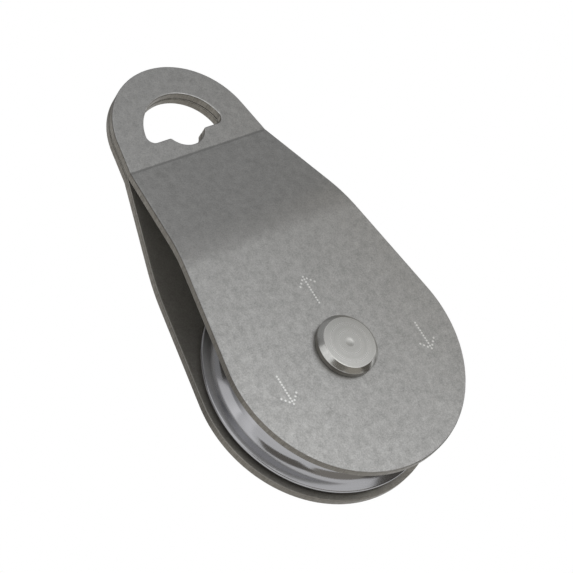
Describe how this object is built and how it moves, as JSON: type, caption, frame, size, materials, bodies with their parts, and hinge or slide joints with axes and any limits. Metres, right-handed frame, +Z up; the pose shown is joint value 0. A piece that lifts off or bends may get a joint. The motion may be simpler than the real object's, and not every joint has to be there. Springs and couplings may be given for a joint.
{
  "type": "snatch block",
  "caption": "Swing-cheek snatch block: two cheek plates meet at a shaped eye and bend apart round a grooved sheave on a ball bearing.",
  "frame": {"origin": "on the axle, at the middle of the sheave's rope groove", "axes": "+Z up along the cheeks to the eye, -Y towards the turned pin head, +Y towards the riveted collar"},
  "size_m": [0.08, 0.0296, 0.1494],
  "materials": {
    "plate_steel": "satin, barrelled",
    "sheave_steel": "turned, oily",
    "pin_steel": "turned",
    "spacer_steel": "turned",
    "bearing_steel": "ground",
    "ball_steel": "polished",
    "spring_steel": "black oxide",
    "seal_rubber": "matt black",
    "cage_polymer": "moulded"
  },
  "bodies": {
    "block_frame": {"back_side_plate": "plate_steel", "axle_pin": "pin_steel", "rear_collar": "pin_steel", "front_spacer": "spacer_steel", "back_spacer": "spacer_steel", "bearing_inner_ring": "bearing_steel"},
    "sheave_unit": {"sheave": "sheave_steel", "bearing_outer_ring": "bearing_steel", "bearing_seal_front": "seal_rubber", "bearing_seal_back": "seal_rubber", "retaining_ring": "spring_steel"},
    "ball_set": {"bearing_cage": "cage_polymer", "bearing_ball_1": "ball_steel", "bearing_ball_2": "ball_steel", "bearing_ball_3": "ball_steel", "bearing_ball_4": "ball_steel", "bearing_ball_5": "ball_steel", "bearing_ball_6": "ball_steel", "bearing_ball_7": "ball_steel"},
    "front_cheek": {"front_side_plate": "plate_steel"}
  },
  "joints": [
    {"name": "sheave_spin", "type": "hinge", "parent": "block_frame", "child": "sheave_unit", "pos_m": [0, 0, 0], "axis": [0, 1, 0], "continuous": true},
    {"name": "ball_set_orbit", "type": "hinge", "parent": "block_frame", "child": "ball_set", "pos_m": [0, 0, 0], "axis": [0, 1, 0], "continuous": true},
    {"name": "cheek_swing", "type": "hinge", "parent": "block_frame", "child": "front_cheek", "pos_m": [0, 0, 0], "axis": [0, 1, 0], "continuous": true}
  ],
  "couplings": [
    {"joint": "ball_set_orbit", "follows": "sheave_spin", "ratio": 0.63532}
  ]
}
